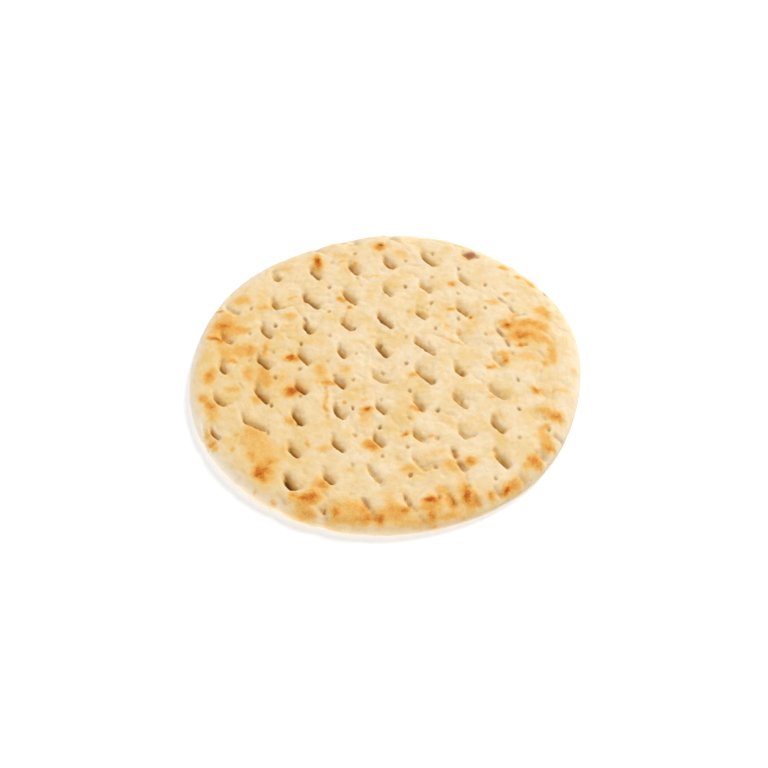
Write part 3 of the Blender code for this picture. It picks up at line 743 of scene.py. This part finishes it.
# x, y, how long and how wide in mm, heat, and degrees turned where a mark isn't level
toastMarks = (
    # broad golden places on the left
    (-72.5, 24, 10, 11, 0.42), (-65, 38.5, 9, 6, 0.35), (-64, 8.5, 15, 9, 0.33), (-66, 19, 9, 5, 0.14),
    (-61, 21, 4, 3, 0.29), (-65, 21, 4, 4, 0.31), (-53, 9, 2.6, 9, 0.4), (-77, -7, 6, 10, 0.4),
    (-66, -14, 8, 4, 0.35), (-60, -5, 4.6, 9, 0.4, 10), (-52.5, -7.5, 5.6, 10, 0.4, 15),
    (-43, 29.4, 7, 5, 0.4), (-56, 34, 5, 3, 0.33), (-43, 41, 5, 2.5, 0.35), (-42, 4, 8, 6, 0.24),
    (-41, -15.5, 8, 6, 0.31), (-28.5, -3, 6, 7, 0.37), (-23.5, -10.8, 10, 2.8, 0.48, -20),
    (-26, -18, 2, 9, 0.31), (-18, -3, 5, 6, 0.31), (-9, -20, 5, 3, 0.24), (-9, -31, 6, 10, 0.26),
    (-40, -32, 6, 5, 0.42, -35), (-56, -38, 8, 4, 0.18, -20), (-31, 13, 7, 5, 0.18),
    (-20, 6, 5, 2, 0.33, -40), (-55, -20, 6, 4, 0.22), (-35, 50, 6, 5, 0.14), (-47, -7, 6, 6, 0.14),
    (-72, -30, 6, 6, 0.18), (-57, 45, 6, 4, 0.14), (-48, 12, 5, 4, 0.14), (-76, -23, 5, 6, 0.22, -30),
    (-72, -25, 4, 6, 0.14), (-74, -39, 4, 6, 0.26), (-59, -41, 9, 12, 0.12), (-70, 5, 5, 8, 0.12, 20),
    (-76, 21, 4, 6, 0.14), (-5, -40, 6, 36, 0.05), (-34, -10, 16, 8, 0.08),
    # along the front
    (-54, -42, 15, 11, 0.2, -45), (-49, -51, 16, 14, 0.22, -20), (-49.5, -59.5, 8, 9, 0.28),
    (-26.5, -66.5, 9, 7, 0.32, -30), (-33.5, -75, 7, 10, 0.28), (-14.5, -77, 14, 12, 0.26),
    (-27, -47, 6, 4, 0.24), (-16, -40, 4, 3, 0.12), (-15, -58, 6, 4, 0.26), (-6, -45, 9, 6, 0.34, -20),
    (2, -75, 5.5, 12, 0.27, 8), (5, -79, 9, 6, 0.18), (12, -83, 14, 3, 0.18, 5), (18, -75, 8, 7, 0.3),
    (26, -72.5, 3.4, 8, 0.36, 15), (26, -79.5, 9, 3, 0.24, 12), (32, -69, 5, 11, 0.34, 10),
    (43, -70.5, 3.2, 4.4, 0.36, 15), (53, -64, 8, 3.6, 0.36, 35), (57, -57, 5, 5, 0.14, 40),
    (8.5, -57.5, 5, 4.4, 0.36), (14, -61, 8, 5, 0.1), (15, -52, 9, 8, 0.18), (30, -62, 10, 10, 0.08),
    (22, -49, 8, 5, 0.2), (26, -55.5, 7, 4, 0.2), (29, -48.5, 2.4, 5, 0.24, 10), (22, -68, 5, 4.4, 0.34),
    (36, -73.5, 3, 5, 0.3, 10), (35, -53, 6.4, 6, 0.32), (19, -39.5, 3, 2, 0.3), (11, -31, 5, 4, 0.24),
    (10, -25, 8, 4, 0.14), (-20, -83, 9, 3, 0.2),
    # on the right and round the puffed place
    (63, 20, 17, 14, 0.25), (60, 15, 12, 8, 0.22), (73, 6, 5, 12, 0.36), (71, 33, 5, 8, 0.32),
    (73.5, 30, 4, 4, 0.24), (71, 22, 4, 6, 0.16), (64.5, 25, 8, 3.4, 0.34), (70, 14, 6, 4, 0.26, -20),
    (52, 26, 5, 3, 0.26), (47, 18, 6, 4, 0.2), (57, 30, 4, 6, 0.22, -30), (49, 36, 6, 4, 0.14),
    (51, 6.5, 5, 3, 0.38), (62, 5, 11, 6, 0.18), (59, 24, 8, 4, 0.16), (69.5, 0, 2.4, 4, 0.32),
    (74.5, -15, 10, 3, 0.3), (67, -17, 4, 3, 0.16), (66, -26, 7, 3, 0.38, -25), (71, -29, 8, 6, 0.26, -25),
    (66, -40, 7, 4.4, 0.36, -25), (74, -31, 5, 3, 0.26, -30), (61, -52, 4, 6, 0.36, 40),
    (66, -36, 6, 3, 0.24, -20), (45, -19, 4, 2.6, 0.32), (67, -45, 6, 5, 0.34, -40), (82, -3, 3, 4, 0.26),
    (83, 9, 3, 4, 0.14), (28, 15, 9, 2.4, 0.14, -25), (47, 38, 8, 4, 0.26), (27, 24, 3, 3, 0.22),
    (25, 1, 4, 4, 0.2), (12, -7, 6, 2.4, 0.26), (33, 20, 4, 3, 0.28), (60, -3, 6, 5, 0.12),
    (36, 5, 6, 4, 0.12), (40, -30, 6, 4, 0.12), (66, 52, 5, 4, 0.3, -45), (60, 42, 6, 4, 0.14),
    (30, -5, 4, 3, 0.12),
    # at the back
    (-20, 68, 8, 4, 0.24), (-21, 64, 3, 3, 0.3), (-4, 75, 9, 6, 0.3), (7, 69, 7, 6, 0.26),
    (2, 61, 5, 4, 0.18), (12, 63, 10, 9, 0.1), (-6, 55, 8, 2.4, 0.26), (2, 51, 4, 3, 0.22),
    (54.5, 60, 4.4, 4, 0.42), (38.6, 67.6, 7, 5, 0.36), (-46, 60, 4, 3, 0.26), (-23, 78, 9, 3, 0.12, 10),
    (12, 56, 5, 4, 0.14), (24, 62, 6, 4, 0.12),
    # faint golden washes
    (1, 33, 8, 20, 0.13), (8, 40, 8, 7, 0.13), (-35, 38, 6, 8, 0.14), (-16, 35, 5, 6, 0.16),
    (-18, 20, 10, 6, 0.12), (16, 12, 5, 12, 0.13), (28, 22, 5, 14, 0.14), (30, 12, 10, 4, 0.14),
    (24, -42, 14, 8, 0.13), (27, -57, 8, 8, 0.13), (51, -37, 5, 5, 0.16), (54, -48, 10, 6, 0.13),
    (-16, -38, 8, 8, 0.14), (-24, -46, 6, 5, 0.16), (-57, -20, 5, 10, 0.14), (-44, -7, 6, 8, 0.16),
    (-37, -14, 8, 8, 0.13), (-28, -26, 8, 7, 0.15), (13, -5.5, 5, 5, 0.22), (-2, -6, 5, 5, 0.16),
    (34, 50, 5, 12, 0.13), (-13, 60, 4, 10, 0.15), (61, 3, 14, 6, 0.14), (53, -2.5, 10, 4, 0.13),
    (-72, 7, 4, 11, 0.16, 25), (-40, 59, 9, 9, 0.14), (-29, 60, 6, 8, 0.15), (-25, 71, 5, 8, 0.13),
    (-75, -30, 4, 10, 0.18, -15), (61, -54, 4, 5, 0.3, 40), (3, 61, 5, 4, 0.14),
    # brown places in them
    (-73, 23, 6, 3.4, 0.3), (-75, 33, 5, 2, 0.42, -30), (-60, 9, 5, 5, 0.22), (-67, 2, 3.6, 2, 0.4),
    (-76.5, -7, 3.4, 4.6, 0.24), (-78.5, -19, 5, 2.4, 0.45, -30), (-75.5, -23.5, 4.4, 3, 0.4, -45),
    (-43, 23, 5, 1.8, 0.28), (-26, -24, 2, 3.6, 0.42), (-33, -44, 2.2, 4.4, 0.42), (-73, -43, 3.4, 3, 0.46),
    (-71, -46, 3, 2.4, 0.36), (-64, -47, 2.4, 2.4, 0.4), (-63, -39, 2, 2.4, 0.26),
    (-56, -51, 3.4, 5, 0.3, 20), (-47, -53, 5, 2, 0.2, 10), (-50, -63, 3.4, 3, 0.4),
    (-38, -71, 2, 2.4, 0.4), (-31, -79, 5, 2.4, 0.3), (-9, -77.5, 2.4, 4, 0.3), (-7, -81.5, 4.4, 3, 0.36),
    (-11, -83, 6, 2.4, 0.34), (8, -78, 3.4, 3, 0.36), (18, -80.5, 2.6, 4.4, 0.4), (27, -74, 2, 3.4, 0.22),
    (-6, -45, 5.4, 3.6, 0.3, -25), (35, -53.4, 4, 3.4, 0.36), (60, 17, 8, 3.6, 0.34),
    (68, 33, 2.6, 3.6, 0.32), (69, 22, 3, 3, 0.22), (46, -1.6, 4.4, 1.6, 0.5, -10),
    (64.4, -14.6, 3.8, 3, 0.6), (71.5, -29.5, 5, 3, 0.26, -25), (67.5, -34, 3, 2, 0.34),
    (29, 34, 4.4, 2.2, 0.4), (19, 34, 2, 2, 0.3), (-20, 40, 4.2, 2.6, 0.5), (-15, 64, 2, 2.2, 0.45),
    (61, 54, 2.8, 2.4, 0.42), (67, 50, 4, 2.2, 0.3, -50), (55, 43, 3, 2.6, 0.36), (-18, -21, 1.8, 2.8, 0.5),
    (-2, 15, 2, 2.4, 0.3), (69, -46, 3.6, 2.6, 0.36, -45), (58, -56, 2.6, 2.6, 0.24),
    (10, -61, 1.3, 1.4, 0.5), (-53, -67, 2, 1.6, 0.26), (-46, -72, 1.6, 2, 0.3),
    # the darkest spots
    (-76, 15.2, 5.4, 2.6, 0.72, -22), (-72.5, 14, 3, 1.6, 0.4, -30), (-41.6, 3.5, 4.6, 3.2, 0.7),
    (-39.8, -15.2, 5, 3.4, 0.46), (-52, -59, 5, 5, 0.6), (-31, -72, 8, 3.6, 0.52), (-30, -70, 3, 2.4, 0.3),
    (-20.5, -79, 3, 4, 0.46), (-8, -25.4, 4, 2.6, 0.74), (13, -24.5, 4.2, 2.8, 0.52),
    (8, -39, 3, 2.8, 0.62), (18, -73.5, 6, 3.4, 0.62), (-2, -81.5, 3.2, 4, 0.55),
    (32.5, -71, 3.4, 6, 0.46, 8), (49, -67, 4, 2.8, 0.64, 20), (54, 22.6, 3.6, 3.6, 0.66, 30),
    (38, 28.5, 2.6, 2.6, 0.76), (52.4, 2.6, 3.2, 3.4, 0.62), (30, 49.5, 3, 2.6, 0.62),
    (-32, 64.4, 3.6, 7, 0.78, 10), (-3, 73.4, 4.4, 4, 0.45), (-17, 34.8, 2.4, 2, 0.52),
    (59.5, 11.2, 3.4, 1, 0.5),
)

# x, y, length, width, heat and degrees, where the crust is scorched to a dull purple brown
scorchMarks = ((40.2, 69, 6.4, 5, 0.85, -10), (-75, 33.5, 4, 1.6, 0.5, -30), (73, 45, 3.4, 1.6, 0.6, -50))

crust = {
    # heat of the toasting, and the colour that it gives, as red, green and blue up to 255
    "toasting": ((0.0, (244, 218, 168)), (0.15, (246, 209, 140)), (0.3, (246, 196, 112)),
                 (0.45, (240, 176, 84)), (0.6, (226, 142, 50)), (0.75, (206, 106, 24)),
                 (0.9, (182, 80, 10)), (1.0, (150, 60, 8))),
    "cream": (250, 230, 197),
    "straw": (242, 206, 132),
    "flour": (252, 238, 214),
    # pale dough on the rim's side, lightened further as painted light where that side is lit
    "rim": (252, 240, 222),
    "scorch": (174, 112, 80),
    # depth in a scoop, and the painted shade that darkens the crust there
    "scoopShade": ((0.0, (255, 255, 255)), (0.2, (255, 252, 244)), (0.3, (254, 248, 232)),
               (0.41, (248, 238, 210)), (0.54, (214, 192, 144)), (0.8, (150, 120, 70))),
    # painted shade in the docking holes
    "hole": (202, 168, 92),
    "holeShadeShare": 0.8,             # how much of the painted shade the deepest hole takes on
    # painted shade in the folds of the skin
    "fold": (178, 130, 74),
    "foldShadeShare": 0.76 / mm,       # how much of the painted shade a fold takes on for its depth
    "foldShadeEdge": 1.6,
    # where the dough is strawy: noise scales in waves in a metre, and how much straw each adds
    "patchScale": 28.0,
    "blotchScale": 95.0,
    "blotchEdge": (0.4, 0.68),
    "patchStraw": (0.25, 0.65),
    "mottleScale": 260.0,
    "mottleEdge": (0.36, 0.66),
    "mottleStraw": 0.38,
    "leftStraw": 0.32,            # at the left, fading out between two places in x, less at the back
    "leftReach": (-55.0 * mm, 5.0 * mm),
    "backReach": (-10.0 * mm, 30.0 * mm),
    "backShare": 0.35,
    # warmth of the lips and of the front rim
    "lipHeat": 0.3,
    "lipEdge": (0.45, 0.68),
    "lipShare": 0.3,              # of that heat in the middle of the bread
    "lipReach": (30.0 * mm, 85.0 * mm),
    "rimHeat": 0.12,
    "rimReach": (74.0 * mm, 80.0 * mm),      # from the middle
    "frontReach": (-76.0 * mm, -40.0 * mm),
    "frontLeft": (-60.0 * mm, -36.0 * mm),   # the warm front ends here
    "litPaleRimHeights": (5.0 * mm, 8.6 * mm),     # the pale rim, part pale dough and part painted light, fades out between these
    "litPaleRimFront": 0.7,                        # share of the paleness at the front
    "litPaleRimLeft": (-56.0 * mm, -34.0 * mm),    # all pale to the left of this, where the painted light is strongest
    "litPaleRimRight": 0.4,
    "toastHeights": (1.0 * mm, 4.4 * mm),
    "topHeights": (0.1 * mm, 1.5 * mm),      # underside below, crust above
    "speckle": 0.38,
    "griddleScale": 130.0,
    "griddleEdge": (0.48, 0.72),
    "griddleHeat": (0.05, 0.95),
    "griddleSpeckle": 0.5,
    "grainScale": 900.0,
    "grainDepth": 0.3 * mm,
    "flourShare": 0.5,
    "roughness": 0.62,
    "specular": 0.12,
    "subsurface": 0.08,
    "subsurfaceReach": 2.0 * mm,
    "bumpStrength": 0.85,
}


def paint(red, green, blue):
    def lit(value):
        value /= 255.0
        return value / 12.92 if value <= 0.04045 else ((value + 0.055) / 1.055) ** 2.4
    return (lit(red), lit(green), lit(blue), 1.0)


def painted(tree, name):
    return place(tree, "ShaderNodeAttribute", output="Fac", attribute_name=name, attribute_type="GEOMETRY")


def blended(amount, first, second, mode="MIX"):
    return place(treeOf(amount, first, second), "ShaderNodeMix", {0: amount, 6: first, 7: second}, output=2,
                 data_type="RGBA", blend_type=mode)


def ramp(amount, stops):
    colour = place(amount.tree, "ShaderNodeValToRGB", {"Fac": amount})
    elements = colour.socket.node.color_ramp.elements
    elements[1].position = stops[-1][0]
    for position, _ in stops[1:-1]:
        elements.new(position)
    for element, (_, given) in zip(elements, stops):
        element.color = paint(*given)
    return colour


def browningGroup():
    # heat becomes a speckled toast colour, and how much of it covers the crust below
    tree, given, made = newTree("browning", "ShaderNodeTree",
                                {"Vector": "NodeSocketVector", "Heat": 0.0, "Speckle": crust["speckle"]},
                                {"Color": "NodeSocketColor", "Cover": "NodeSocketFloat"})
    coarse = noise(given["Vector"], 420.0, detail=3.0, roughness=0.6)
    grain = (coarse + noise(given["Vector"], 1600.0)) * 0.5 - 0.5
    heat = given["Heat"] * (grain * given["Speckle"] * 4.0 + 1.0)
    plug(tree, made["Color"], ramp(heat, crust["toasting"]))
    plug(tree, made["Cover"], eased(heat, 0.03, 0.35))
    return tree


def crumbGroup():
    # the skin's own small relief and its pale specks of flour
    tree, given, made = newTree("crumbGrain", "ShaderNodeTree",
                                {"Vector": "NodeSocketVector", "Scale": crust["grainScale"]},
                                {"Height": "NodeSocketFloat", "Flour": "NodeSocketFloat"})
    plug(tree, made["Height"], noise(given["Vector"], given["Scale"], detail=4.0, roughness=0.6))
    plug(tree, made["Flour"], eased(noise(scaled(given["Vector"], 1.7), given["Scale"]), 0.66, 0.74))
    return tree


def doughColour(where, blotches, patchy):
    # pale dough, creamier here and strawy there
    x, y, _ = apart(where)
    straw = eased(blotches, *crust["blotchEdge"]) * eased(patchy, 0.35, 0.65, *crust["patchStraw"])
    left = (eased(x, *crust["leftReach"], crust["leftStraw"], 0.0)
            * eased(y, *crust["backReach"], 1.0, crust["backShare"]))
    mottle = noise(where, crust["mottleScale"], detail=5.0, roughness=0.68)
    mottle = eased(mottle, *crust["mottleEdge"]) * crust["mottleStraw"]
    return blended(straw + left + mottle, paint(*crust["cream"]), paint(*crust["straw"]))


def shadeAndScorchColour(colour):
    # painted shade in the scoops, the holes and the folds, darker where they are deeper, and the crust's own
    # dull colour where scorched
    tree = colour.tree
    hollow, hole, folded, scorched = (painted(tree, name) for name in ("hollow", "dock", "fold", "scorch"))
    # painted shade in the scoops, darker where they are deeper
    colour = blended(1.0, colour, ramp(hollow, crust["scoopShade"]), "MULTIPLY")
    # painted shade in the docking holes, by their depth
    colour = blended(hole * crust["holeShadeShare"], colour, paint(*crust["hole"]), "MULTIPLY")
    # painted shade in the folds, by their depth
    folded = (folded * crust["foldShadeShare"]) ** crust["foldShadeEdge"]
    colour = blended(folded, colour, paint(*crust["fold"]), "MULTIPLY")
    return blended(eased(scorched, 0.1, 0.9), colour, paint(*crust["scorch"]))


def crustColour(where, skin):
    tree, browning = where.tree, browningGroup()
    x, y, z = apart(where)
    fromMiddle = root(x * x + y * y)
    topSide = eased(z, *crust["topHeights"])
    patches = noise(where, crust["patchScale"], detail=3.0)
    blotches = noise(where, crust["blotchScale"], detail=3.0)
    patchy = eased(patches, 0.3, 0.6, 0.4, 1.0)
    base = doughColour(where, blotches, patches)
    base = blended(skin["Flour"] * crust["flourShare"], base, paint(*crust["flour"]))

    # the pale side of the rim, part pale dough and part painted light that is strongest on the left, and the
    # warm lips and front rim
    side = eased(fromMiddle, *crust["rimReach"])
    front = eased(y, *crust["frontReach"], 1.0, 0.0)
    # pale dough and painted light on the rim's side, all of it on the left
    pale = (eased(z, *crust["litPaleRimHeights"], 1.0, 0.0) * eased(front, 0.0, 1.0, 1.0, crust["litPaleRimFront"])
            * side * eased(x, *crust["litPaleRimLeft"], 1.0, crust["litPaleRimRight"]) * topSide)
    base = blended(pale, base, paint(*crust["rim"]))
    towardsRim = eased(fromMiddle, *crust["lipReach"], crust["lipShare"], 1.0)
    lipHeat = painted(tree, "lip") * eased(blotches, *crust["lipEdge"]) * towardsRim * crust["lipHeat"]
    rimHeat = side * front * patchy * eased(x, *crust["frontLeft"]) * crust["rimHeat"]
    heat = (painted(tree, "toast") + lipHeat + rimHeat) * eased(z, *crust["toastHeights"])
    toasted = useGroup(tree, browning, {"Vector": where, "Heat": heat, "Speckle": crust["speckle"]})
    colour = shadeAndScorchColour(blended(toasted["Cover"], base, toasted["Color"]))

    # the underside is browned in spots where it lay on the griddle
    spots = noise(where, crust["griddleScale"], detail=4.0, roughness=0.6)
    under = eased(spots, *crust["griddleEdge"], *crust["griddleHeat"]) * patchy * (1.0 - topSide)
    griddled = useGroup(tree, browning, {"Vector": where, "Heat": under, "Speckle": crust["griddleSpeckle"]})
    return blended(griddled["Cover"], colour, griddled["Color"])


def crustMaterial():
    material, tree, shader = newMaterial("bakedCrust")
    where = place(tree, "ShaderNodeTexCoord", output="Object")
    skin = useGroup(tree, crumbGroup(), {"Vector": where, "Scale": crust["grainScale"]})
    bump = place(tree, "ShaderNodeBump", {"Strength": crust["bumpStrength"], "Distance": crust["grainDepth"],
                                          "Height": skin["Height"]})
    plugAll(tree, shader, {
        "Base Color": crustColour(where, skin), "Normal": bump, "Roughness": crust["roughness"],
        "Specular IOR Level": crust["specular"], "Subsurface Weight": crust["subsurface"],
        "Subsurface Radius": (1.0, 0.55, 0.25), "Subsurface Scale": crust["subsurfaceReach"]})
    return material


bread = makeBread(crustMaterial())
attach(bread, "root")
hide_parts("pita_bread")


# the pale sweep, the soft lights and the camera

studio = {
    "target": (-0.95 * mm, -7.25 * mm, 4.0 * mm),
    "elevation": 49.0,
    "distance": 620.0 * mm,
    "lens": 66.66,
    "keyFrom": (45, 50),          # degrees round from +X, and above the floor
    "keyPower": 87.0,
    "fillFrom": (226, 9),
    "fillPower": 50.0,
    "lampDistance": 3.3,
    "lampSize": 1.6,
    "lampColour": (1.0, 0.985, 0.96),
    "ambient": 0.34,
    "roomColour": (1.0, 0.995, 0.985, 1.0),
    "floorReach": 3.0,
    "floorColour": (0.6, 0.6, 0.61, 1.0),
    "floorGlow": 0.5,
    "glowColour": (0.98, 0.99, 1.0, 1.0),
}


def makeFloor():
    reach = studio["floorReach"]
    mesh = bpy.data.meshes.new("paleFloor")
    mesh.from_pydata([(-reach, -reach, 0), (reach, -reach, 0), (reach, reach, 0), (-reach, reach, 0)],
                     [], [(0, 1, 2, 3)])
    paper, tree, shader = newMaterial("palePaper")
    plugAll(tree, shader, {"Base Color": studio["floorColour"], "Roughness": 0.9,
                           "Emission Color": studio["glowColour"], "Emission Strength": studio["floorGlow"]})
    mesh.materials.append(paper)
    newObject("paleFloor", mesh)


def makeRoom():
    world = bpy.data.worlds.new("softRoom")
    world.use_nodes = True
    tree = world.node_tree
    plugAll(tree, tree.nodes["Background"], {"Color": studio["roomColour"], "Strength": studio["ambient"]})
    bpy.context.scene.world = world


def makeLamp(name):
    around, above = (math.radians(angle) for angle in studio[name + "From"])
    way = Vector((math.cos(around) * math.cos(above), math.sin(around) * math.cos(above), math.sin(above)))
    light = bpy.data.lights.new(name + "Light", "AREA")
    light.shape = "DISK"
    light.size = studio["lampSize"]
    light.energy = studio[name + "Power"]
    light.color = studio["lampColour"]
    lamp = newObject(name + "Light", light)
    lamp.location = way * studio["lampDistance"]
    lamp.rotation_euler = way.to_track_quat("Z", "Y").to_euler()


def makeCamera():
    lens = bpy.data.cameras.new("camera")
    lens.lens = studio["lens"]
    lens.sensor_width = 36.0
    lens.clip_start = 0.01
    camera = newObject("camera", lens)
    raised = math.radians(studio["elevation"])
    back = Vector((0.0, -math.cos(raised), math.sin(raised)))
    camera.location = Vector(studio["target"]) + back * studio["distance"]
    camera.rotation_euler = (math.pi / 2 - raised, 0.0, 0.0)
    bpy.context.scene.camera = camera


makeFloor()
makeRoom()
makeLamp("key")
makeLamp("fill")
makeCamera()
bpy.context.scene.view_settings.view_transform = "Standard"
print("studio ready")
